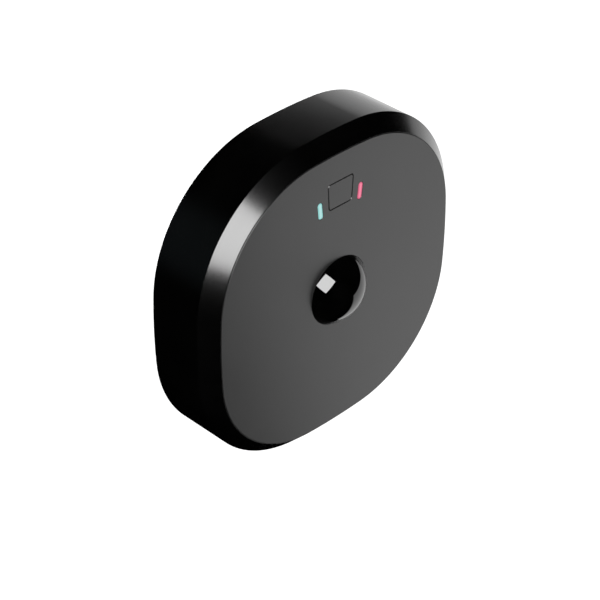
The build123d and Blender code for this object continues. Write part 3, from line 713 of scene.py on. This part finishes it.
def inner_catch(quarter):
    """Ramped catch across a diagonal of the inner wall, which the wall plate's finger snaps over."""
    middle = np.pi / 4 + quarter * np.pi / 2
    half = CATCH_W / 2 / CORNER_ARC
    points, facing = case_outline(marks=np.linspace(middle - half, middle + half, 15))
    turn = np.arctan2(facing[:, 1], facing[:, 0]) % (2 * np.pi)
    chosen = np.abs(turn - middle) < half + ROUND_OFF
    path = (points[chosen], facing[chosen])
    root, tip = -WALL + SUNK, -WALL - CATCH_OUT
    section = rounded([(root, CATCH_LOW), (root, CATCH_HIGH), (tip, CATCH_HIGH - CATCH_OUT),
                       (tip, CATCH_LOW + CATCH_RAMP)], [0, 0, SOFT_EDGE, SOFT_EDGE], steps=3)
    return [carried(path, section, endless=False), *end_caps(path, section)]


case_black = moulded("case_gloss_black", (0.0002,) * 3, (0.0004,) * 3, (0.20, 0.22), 0.012, ior=1.58)
DOME_PLAY = 0.0002
BUTTON_PLAY = 0.0004
BAR_PLAY = 0.0001
front_holes = [circle(DOME_NECK + DOME_PLAY, z=DOME_Z, steps=128), button_outline(BUTTON_PLAY),
               bar_outline(-1, BAR_PLAY), bar_outline(1, BAR_PLAY)]
RETAINER_T = 0.001
BOARD_BOSS_R = 0.0026
COVER_BOSS_R = 0.0030
RING_BOSS_R = 0.0019
BORE_END = 0.0004
bosses = []
boss_loops = []
for places, outer_r, screw, low, bore_high in (
        (four(*BOARD_SCREW_XZ), BOARD_BOSS_R, BOARD_SCREW, BOARD_FRONT, WEB_BACK),
        (four(*COVER_SCREW_XZ), COVER_BOSS_R, COVER_SCREW, COVER_FRONT, WEB_BACK),
        (retainer_places, RING_BOSS_R, SMALL_SCREW, WEB_BACK - RETAINER_T, WEB_FRONT - BORE_END)):
    for x, z in places:
        bosses += blind_boss(x, z, outer_r, screw[0] + SCREW_PLAY, low, bore_high)
        boss_loops.append(circle(outer_r, x, z, 40)[0])
ribs = []
boss_web = np.array([(WEB_IN, -WEB_HALF), (WEB_OUT, -WEB_HALF), (WEB_OUT, WEB_HALF), (WEB_IN, WEB_HALF)])
for quarter in range(4):
    lean = np.pi / 4 + quarter * np.pi / 2
    turned = np.array([[np.cos(lean), np.sin(lean)], [-np.sin(lean), np.cos(lean)]])
    ribs += prism(lozenge(boss_web @ turned, SOFT_EDGE, steps=3), COVER_FRONT + WEB_HALF, WEB_BACK + SUNK)
    ribs += inner_catch(quarter)
piece("case_shell", [
    carried(case_path, wall_section, closed=False, keep=without_vents(wall_section)),
    carried(case_path, inner_section, closed=False, keep=without_vents(inner_section)),
    sheet([lip_loop] + [hole[0] for hole in front_holes], WEB_FRONT),
    sheet([inner_loop] + [hole[0] for hole in front_holes] + boss_loops, WEB_BACK, facing_front=False),
    *[upright(hole, WEB_BACK, WEB_FRONT, inwards=True) for hole in front_holes],
    *[vent_jambs(*ends) for ends in vent_ends],
    *bosses,
    *ribs,
], case_black, "head", "case_gloss_black", "housing")


# Thin double-sided foam tape bonds the face plate to the case. It is die cut to the outline of the
# front wall and to its openings.
tape_white = moulded("tape_white", (0.62, 0.62, 0.59), (0.76, 0.76, 0.73), (0.75, 0.9),
                     drift=0.003, grain=0.00009, depth=0.00002)
softened("face_tape", "panel_tape", 0.00002, tape_white, "head")


# The face plate is a flat matt moulding, taped into the case flush with its lip, with holes for
# the dome, the button and the two light bars. Its edges are broken very slightly.
FIT = 0.00005
RIM = 0.00006
DOME_GAP = 0.00004
DOME_RIM = 0.00002
BUTTON_HOLE = 0.00017
BUTTON_HOLE_RIM = 0.00013
BAR_GAP = 0.00006
face_black = moulded("face_charcoal", (0.0140,) * 3, (0.0150,) * 3, (0.248, 0.272), drift=0.02, ior=1.54)


def plate_edge(path, outer, rim):
    """Edge of the face plate carried round its outline or a hole, with both corners broken by rim.
    Returns it with the outlines of the flat front and back that it leaves."""
    corners = [(-rim, PANEL_BACK), (0, PANEL_BACK + rim), (0, FACE - rim), (-rim, FACE), (-2 * rim, FACE)]
    radii = [0, 0, rim / 3, rim / 3, 0]
    if not outer:
        corners = [(-out, level) for out, level in corners[::-1]]
        radii = radii[::-1]
    patch = carried(path, rounded(corners, radii, closed=False), closed=False)
    step = path[1] * (-rim if outer else rim)
    return patch, path[0] + 2 * step, path[0] + step


plate_path = case_outline()
plate_path = (plate_path[0] - (BEVEL + FIT) * plate_path[1], plate_path[1])
edges = [plate_edge(plate_path, True, RIM),
         plate_edge(circle(DOME_NECK + DOME_GAP, z=DOME_Z, steps=128), False, DOME_RIM),
         plate_edge(button_outline(BUTTON_HOLE), False, BUTTON_HOLE_RIM),
         plate_edge(bar_outline(-1, BAR_GAP), False, RIM),
         plate_edge(bar_outline(1, BAR_GAP), False, RIM)]
edge_patches, fronts, backs = (list(part) for part in zip(*edges))
piece("face_plate", edge_patches + [sheet(fronts, FACE), sheet(backs, PANEL_BACK, False)],
      face_black, "head", "face_charcoal", "face_panel")


# The dome over the motion sensor is moulded in a black plastic that only heat rays pass. Its
# polished cap is part of a ball, flat lens zones lie inside, and a neck and a flange hold it.
dome_black = moulded("lens_black", (0.0002,) * 3, (0.0006,) * 3, (0.02, 0.035), ior=1.58)
DOME_CENTRE = FACE - DOME_DROP
DOME_FLANGE = 0.012
DOME_WALL = 0.001
FLANGE_T = 0.001
lift = np.linspace(np.arcsin(DOME_DROP / DOME_R), np.pi / 2, 40)
cap_facing = np.stack([np.cos(lift), np.sin(lift)], -1)
cap = np.array([0, DOME_CENTRE]) + DOME_R * cap_facing
flange_low = WEB_BACK - FLANGE_T
neck_in = DOME_NECK - DOME_WALL
neck = rounded([(neck_in, flange_low), (DOME_FLANGE, flange_low), (DOME_FLANGE, WEB_BACK),
                (DOME_NECK, WEB_BACK), (DOME_NECK, FACE)], [0, SOFT_EDGE, SOFT_EDGE, 0, 0], closed=False)
hollow_r = DOME_R - DOME_WALL
zone = np.radians((72, 54))
zone_ends = np.stack([hollow_r * np.cos(zone), DOME_CENTRE + hollow_r * np.sin(zone)], -1)
hollow_low = DOME_CENTRE + np.sqrt(hollow_r ** 2 - neck_in ** 2)
hollow = rounded([(0, DOME_CENTRE + hollow_r), *zone_ends, (neck_in, hollow_low), (neck_in, flange_low)],
                 [0] * 5, closed=False)
axis = (np.tile([0, DOME_Z], (128, 1)), circle(DOME_R, steps=128)[1])
piece("motion_dome", [carried(axis, section, closed=False) for section in (neck, (cap, cap_facing), hollow)],
      dome_black, "head", "lens_black", "sensor_dome")


# A clamp ring in black nylon presses the dome's flange against the case from behind. Three screws
# in bosses of the front wall hold it down by its ears.
RING_REACH = 0.0028
softened("dome_clamp_ring", "dome_retainer", 0.0001, inner_black, "head")
screw_set("clamp_ring_screws", retainer_places, flange_low - RETAINER_T, SMALL_SCREW, RING_REACH, -1,
          "head", "retainer_screws")


# The motion sensor is a drawn steel can with a rolled brim, and a dark filter glass cemented into
# its top, which lets only body heat through.
softened("sensor_can", "motion_sensor", 0.0001, tinned_sheet, "head")
chip_black = moulded("chip_black", (0.014, 0.014, 0.015), (0.026, 0.026, 0.027), (0.38, 0.52),
                     drift=0.003, grain=0.00012, depth=0.000006)
softened("filter_glass", "sensor_window", 0.00005, chip_black, "head")


# The button is a keystone of the same matt plastic, flush with the face. Its flange behind the
# front wall keeps it captive, and a stub presses the switch.
SWITCH_TOP = -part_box("switch_plunger")[0].y
BUTTON_FLANGE = 0.0008
FLANGE_PLAY = 0.0001
STUB_R = 0.0013
STUB_L = 0.0004
CAP_GROW = 0.00006
CAP_EDGE = 0.00017
CAP_ROUND = 0.00006
flange_back = SWITCH_TOP + STUB_L
flange_front = WEB_BACK - FLANGE_PLAY
side_section = rounded([(BUTTON_FLANGE, flange_back), (BUTTON_FLANGE, flange_front), (0, flange_front),
                        (0, FACE - CAP_EDGE), (-CAP_EDGE, FACE), (-2 * CAP_EDGE, FACE)],
                       [0, SOFT_EDGE, SOFT_EDGE, CAP_ROUND, CAP_ROUND, 0], closed=False)
button_path = button_outline(CAP_GROW)
stub = circle(STUB_R, z=BUTTON_Z, steps=32)
piece("button", [
    carried(button_path, side_section, closed=False),
    sheet([button_path[0] - 2 * CAP_EDGE * button_path[1]], FACE),
    sheet([button_path[0] + BUTTON_FLANGE * button_path[1], stub[0]], flange_back, False),
    upright(stub, SWITCH_TOP, flange_back),
    sheet([stub[0]], SWITCH_TOP, False),
], face_black, "button", "face_charcoal", "button_cap")
softened("switch_stem", "switch_plunger", 0.00008, inner_black, "button")
softened("tact_switch", "button_switch", 0.00012, chip_black, "head")


# The two light bars are clear guides with a tinted, frosted end flush with the face. A collar
# behind the front wall stops each, and a small white lamp package sits on the board at its foot. That
# package gives no light. The bar's glow is painted into the guide as emission.
GUIDE_BACK = -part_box("cool_light_guide")[1].y
COLLAR = 0.0005
COLLAR_T = 0.0008
BAR_EDGE = 0.0001
BAR_ROUND = 0.00008
BAR_GLOW = 0.5
FROST = 0.06


def lit_plastic(name, rim_colour, core_colour):
    """Frosted plastic with a painted glow. Its emission and colour are deeper at the rim of the bar and
    paler along its middle, which the attribute core gives as 1. This is painted light and shade that stands
    in for the lamp's light inside the guide."""
    material, tree, shader, place = new_material(name)
    core = tree.nodes.new("ShaderNodeAttribute")
    core.attribute_name = "core"
    frost_and_glow = worked_out(tree, "MULTIPLY_ADD", speckle(tree, place, 0.0004), FROST, core.outputs["Fac"])
    for socket in ("Base Color", "Emission Color"):
        tinted(tree, frost_and_glow, rim_colour, core_colour, shader.inputs[socket])
    shader.inputs["Emission Strength"].default_value = BAR_GLOW
    shader.inputs["Roughness"].default_value = 0.35
    return material


def light_guide(name, side, material, slot_name, node):
    """Guide of one bar. core is 1 less the distance from the bar's middle line over half its width."""
    path = bar_outline(side)
    half = BAR_W / 2
    collar_back = WEB_BACK - COLLAR_T
    section = rounded([(0, GUIDE_BACK), (0, collar_back), (COLLAR, collar_back), (COLLAR, WEB_BACK),
                       (0, WEB_BACK), (0, FACE), (-BAR_EDGE, FACE)],
                      [0, 0, SOFT_EDGE / 2, SOFT_EDGE / 2, 0, BAR_ROUND, 0], closed=False)
    inwards = np.linspace(BAR_EDGE, half, 6)[:, None]
    end = (inwards * (-1, 0) + (0, FACE), inwards * 0 + (0, 1))
    guide = piece(name, [carried(path, section, closed=False), carried(path, end, closed=False),
                         sheet([path[0]], GUIDE_BACK, False)], material, "head", slot_name, node)
    along = np.array([side * np.sin(BAR_LEAN), np.cos(BAR_LEAN)])
    spots = np.empty(3 * len(guide.data.vertices))
    guide.data.vertices.foreach_get("co", spots)
    offset = spots.reshape(-1, 3)[:, (0, 2)] - (side * BAR_X, BAR_Z)
    on_line = np.clip(offset @ along, -(BAR_L - BAR_W) / 2, (BAR_L - BAR_W) / 2)[:, None] * along
    core = 1 - np.clip(np.linalg.norm(offset - on_line, axis=1) / half, 0, 1)
    guide.data.attributes.new("core", "FLOAT", "POINT").data.foreach_set("value", core)


# Rim and middle colours of each bar's painted glow: the dimmer rim is painted shade and the paler middle is
# painted light.
cyan_light = lit_plastic("light_cyan", (0.13, 0.31, 0.30), (0.217, 0.378, 0.37))
pink_light = lit_plastic("light_pink", (0.34, 0.05, 0.10), (0.475, 0.105, 0.172))
light_guide("cool_bar", -1, cyan_light, "light_cyan", "cool_light_guide")
light_guide("heat_bar", 1, pink_light, "light_pink", "heat_light_guide")
lamp_white = moulded("lamp_white", (0.72, 0.72, 0.68), (0.84, 0.84, 0.80), (0.35, 0.5),
                     drift=0.0015, grain=0.0001, depth=0.000003)
softened("cool_lamp_package", "cool_lamp", 0.00005, lamp_white, "head")
softened("heat_lamp_package", "heat_lamp", 0.00005, lamp_white, "head")
softened("colour_baffle", "light_baffle", 0.0001, inner_black, "head")


# The main board hangs behind the front wall on four screws. The radio module, the processor and
# its memory are soldered to its front, and a bead on a tongue by the vents feels the room's air.
BOARD_REACH = 0.0039
softened("control_board", "main_board", 0.00004, mask_green, "head")
screw_set("board_mounting_screws", four(*BOARD_SCREW_XZ), -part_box("main_board")[1].y, BOARD_SCREW,
          BOARD_REACH, -1, "head", "board_screws")
softened("radio_module", "wifi_board", 0.00003, mask_green, "head")
softened("radio_lid", "wifi_shield", 0.00008, tinned_sheet, "head")
softened("processor_package", "processor", 0.00004, chip_black, "head")
softened("memory_package", "memory_chip", 0.00004, chip_black, "head")
softened("air_sensor_bead", "temperature_sensor", 0.00006, chip_black, "head")


# On the board's back are the solid-state switches for the heating and cooling lines, and the small
# power supply: a bridge, a shielded coil in a ferrite pot and two moulded tantalum capacitors.
softened("line_switches", "output_switches", 0.00006, chip_black, "head")
softened("bridge", "bridge_rectifier", 0.00006, chip_black, "head")
ferrite_grey = moulded("coil_grey", (0.085, 0.085, 0.088), (0.135, 0.135, 0.138), (0.45, 0.6),
                       drift=0.002, grain=0.0001, depth=0.000010)
softened("pot_coil", "supply_coil", 0.0001, ferrite_grey, "head")
epoxy_amber = moulded("capacitor_amber", (0.50, 0.28, 0.045), (0.64, 0.39, 0.085), (0.32, 0.42),
                      drift=0.003, grain=0.00015, depth=0.000005)
softened("tantalum_capacitors", "storage_capacitors", 0.00006, epoxy_amber, "head")


# Eight square gold flashed pins stand in a nylon strip, soldered through the board. They reach out
# of the rear cover and enter the plate's socket when the head is pushed on.
softened("pin_strip", "header_strip", 0.00006, inner_black, "head")
softened("plug_pins", "header_pins", 0.00004, gold_flash, "head")


# The rear cover is a flat moulding in the same grey as the wall plate, with a stiffening rim, ribs,
# square seats for its four screws, five vents and a window for the pins.
softened("back_cover", "rear_cover", 0.00012, plate_grey, "head")
COVER_T = 0.001
COVER_REACH = 0.0062
screw_set("back_cover_screws", four(*COVER_SCREW_XZ), -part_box("rear_cover")[1].y + COVER_T, COVER_SCREW,
          COVER_REACH, -1, "head", "cover_screws")


# Stage. The floor is a pale sheet, as far below as under a thermostat on its wall. Black cloths that
# only reflections see stand all round and come nearer at the lower right. The gloss shows white
# through their window on the right and their gap at the back. At the upper left the cloth itself
# gives off a faint cool glow. This is a painted glow with no lamp behind it, and the case's left wall shows
# it as a painted sheen.
FLOOR_DROP = 1.3
FLOOR_R = 8
FLOOR_GLOW = 0.80


def stage_material(name):
    """New material without nodes, and its node tree."""
    material, tree = new_material(name)[:2]
    tree.nodes.clear()
    return material, tree


def seen_directly(tree):
    """1 for rays from the camera and for those that a mirror or clear glass sends on, else 0."""
    ray = tree.nodes.new("ShaderNodeLightPath").outputs
    seen = worked_out(tree, "MAXIMUM", ray["Is Camera Ray"], ray["Is Glossy Ray"])
    return worked_out(tree, "MAXIMUM", seen, ray["Is Transmission Ray"])


def set_out(name, points, faces, material):
    """Object of the stage, from its points and faces."""
    mesh = bpy.data.meshes.new(name)
    mesh.from_pydata(points.tolist(), [], faces.tolist())
    return shown(name, mesh, material)


floor_paper, tree = stage_material("floor_paper")
paper = added(tree, "ShaderNodeBsdfDiffuse", Color=(0.85, 0.85, 0.85, 1))
strength = worked_out(tree, "MULTIPLY", seen_directly(tree), FLOOR_GLOW)
glow = added(tree, "ShaderNodeEmission", Strength=strength)
both = added(tree, "ShaderNodeAddShader", paper.outputs[0], glow.outputs[0])
added(tree, "ShaderNodeOutputMaterial", both.outputs[0])
floor_rim = circle(FLOOR_R)[0]
floor_rim = np.insert(floor_rim, 2, -FLOOR_DROP, axis=1)
floor = set_out("floor", floor_rim, np.arange(len(floor_rim))[None], floor_paper)
floor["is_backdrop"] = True

CLOTHS_R = 1.2
NEAR_R = 0.6
NEAR_SIDE = (0.58, -0.577, -0.572)
NEAR_START = 0.60
NEAR_END = 0.85
WINDOW_SIDES = [((0.04, 0.52, -0.853), -0.035, 0.02), ((0.856, 0.447, 0.259), 0.01, 0.04),
                ((0.723, -0.628, 0.289), 0.0, 0.02)]
BACK_GAP = 0.95
# Painted glow: the cloth gives off a faint cool light round this direction, with no lamp behind it, for a
# painted sheen on the case's left wall.
GLOW_SIDE = (-0.76, 0.59, 0.27)
GLOW_START = 0.88
GLOW_END = 0.99
CLOTH_GLOW = 0.062
CLOTH_COLUMNS = 96
CLOTH_ROWS = 49

black_cloth, tree = stage_material("black_cloth")
outward = added(tree, "ShaderNodeVectorMath", added(tree, "ShaderNodeTexCoord").outputs["Object"])
outward.operation = "NORMALIZE"


def pointing(side):
    """How much the direction out from the middle points to a side: the product of the two."""
    product = added(tree, "ShaderNodeVectorMath", outward.outputs["Vector"], side)
    product.operation = "DOT_PRODUCT"
    return product.outputs["Value"]


opening = 1.0
for side, border, softness in WINDOW_SIDES:
    within = eased(tree, pointing(side), border - softness, border + softness, 0, 1)
    opening = worked_out(tree, "MINIMUM", opening, within)
behind = worked_out(tree, "GREATER_THAN", pointing((0, 1, 0)), BACK_GAP)
open_share = worked_out(tree, "MAXIMUM", opening, behind)
# Painted glow of the cloth at the upper left, seen only in reflections.
strength = eased(tree, pointing(GLOW_SIDE), GLOW_START, GLOW_END, 0, CLOTH_GLOW)
cloth = added(tree, "ShaderNodeEmission", Color=(0.74, 0.92, 1.0, 1), Strength=strength)
clear = added(tree, "ShaderNodeBsdfTransparent")
both = added(tree, "ShaderNodeMixShader", open_share, cloth.outputs[0], clear.outputs[0])
added(tree, "ShaderNodeOutputMaterial", both.outputs[0])

across = np.linspace(0, 2 * np.pi, CLOTH_COLUMNS, endpoint=False)[:, None]
climb = np.linspace(-np.pi / 2, np.pi / 2, CLOTH_ROWS)
level = np.cos(climb)
ball = np.stack([level * np.cos(across), level * np.sin(across), np.sin(climb) + 0 * across], -1)
nearness = np.clip((ball @ NEAR_SIDE - NEAR_START) / (NEAR_END - NEAR_START), 0, 1)
reach = CLOTHS_R - (CLOTHS_R - NEAR_R) * nearness ** 2 * (3 - 2 * nearness)
cloths = set_out("black_cloths", (ball * reach[..., None]).reshape(-1, 3),
                 grid_faces(CLOTH_COLUMNS, CLOTH_ROWS), black_cloth)
cloths.visible_camera = False
cloths.visible_diffuse = False
cloths.visible_shadow = False
cloths.visible_transmission = False
cloths.visible_volume_scatter = False
cloths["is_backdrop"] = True

AMBIENT = 0.4
world = bpy.data.worlds.new("studio")
bpy.context.scene.world = world
world.use_nodes = True
tree = world.node_tree
tree.nodes.clear()
skies = [added(tree, "ShaderNodeBackground", Color=(1, 1, 1, 1), Strength=strength).outputs[0]
         for strength in (AMBIENT, 1.0)]
both = added(tree, "ShaderNodeMixShader", seen_directly(tree), *skies)
added(tree, "ShaderNodeOutputWorld", both.outputs[0])


# Two soft boxes light the object, a key from the upper left in front and a second one from behind
# on the right. Each faces the middle of the face.
LAMP_AWAY = 1.0


def softbox(name, towards, width, height, brightness, along=(0, 0, 1)):
    """Lamp, width along the given direction and height across it, that stands towards a direction
    from the middle of the face. brightness is what a perfect mirror would show of it, so its power
    is that times pi times its area."""
    lamp = bpy.data.lights.new(name, "AREA")
    lamp.shape = "RECTANGLE"
    lamp.size = width
    lamp.size_y = height
    lamp.energy = brightness * np.pi * width * height
    box = bpy.data.objects.new(name, lamp)
    back = Vector(towards).normalized()
    box.location = Vector((0, -FACE, 0)) + back * LAMP_AWAY
    up = back.cross(Vector(along)).normalized()
    right = up.cross(back)
    box.rotation_mode = "QUATERNION"
    box.rotation_quaternion = Matrix((right, up, back)).transposed().to_quaternion()
    box.visible_camera = False
    bpy.context.scene.collection.objects.link(box)


softbox("key_softbox", (-0.572, -0.66, 0.487), 0.75, 0.612, 12.6, along=(0.734, -0.147, 0.663))
softbox("back_softbox", (0.42, 0.82, -0.38), 0.6, 0.6, 9.0)


# The camera looks down on the face from the upper left, half a metre away, with a long lens, and
# about equally along all three axes.
CAMERA_FROM_FACE = Vector((-0.293542, -0.277063, 0.278440))
CAMERA_AIM = Vector((-0.013969, 0, 0.004006))
CAMERA_ROLL = np.radians(0.373)
camera = bpy.data.objects.new("camera", bpy.data.cameras.new("camera"))
camera.data.lens = 115.467
camera.data.sensor_width = 36
camera.data.clip_start = 0.05
camera.data.clip_end = 30
camera.location = Vector((0, -FACE, 0)) + CAMERA_FROM_FACE
camera.rotation_mode = "QUATERNION"
level = (CAMERA_AIM - CAMERA_FROM_FACE).to_track_quat("-Z", "Y")
camera.rotation_quaternion = level @ Quaternion((0, 0, 1), CAMERA_ROLL)
bpy.context.scene.collection.objects.link(camera)
bpy.context.scene.camera = camera
bpy.context.scene.view_settings.view_transform = "Standard"

low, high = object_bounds()
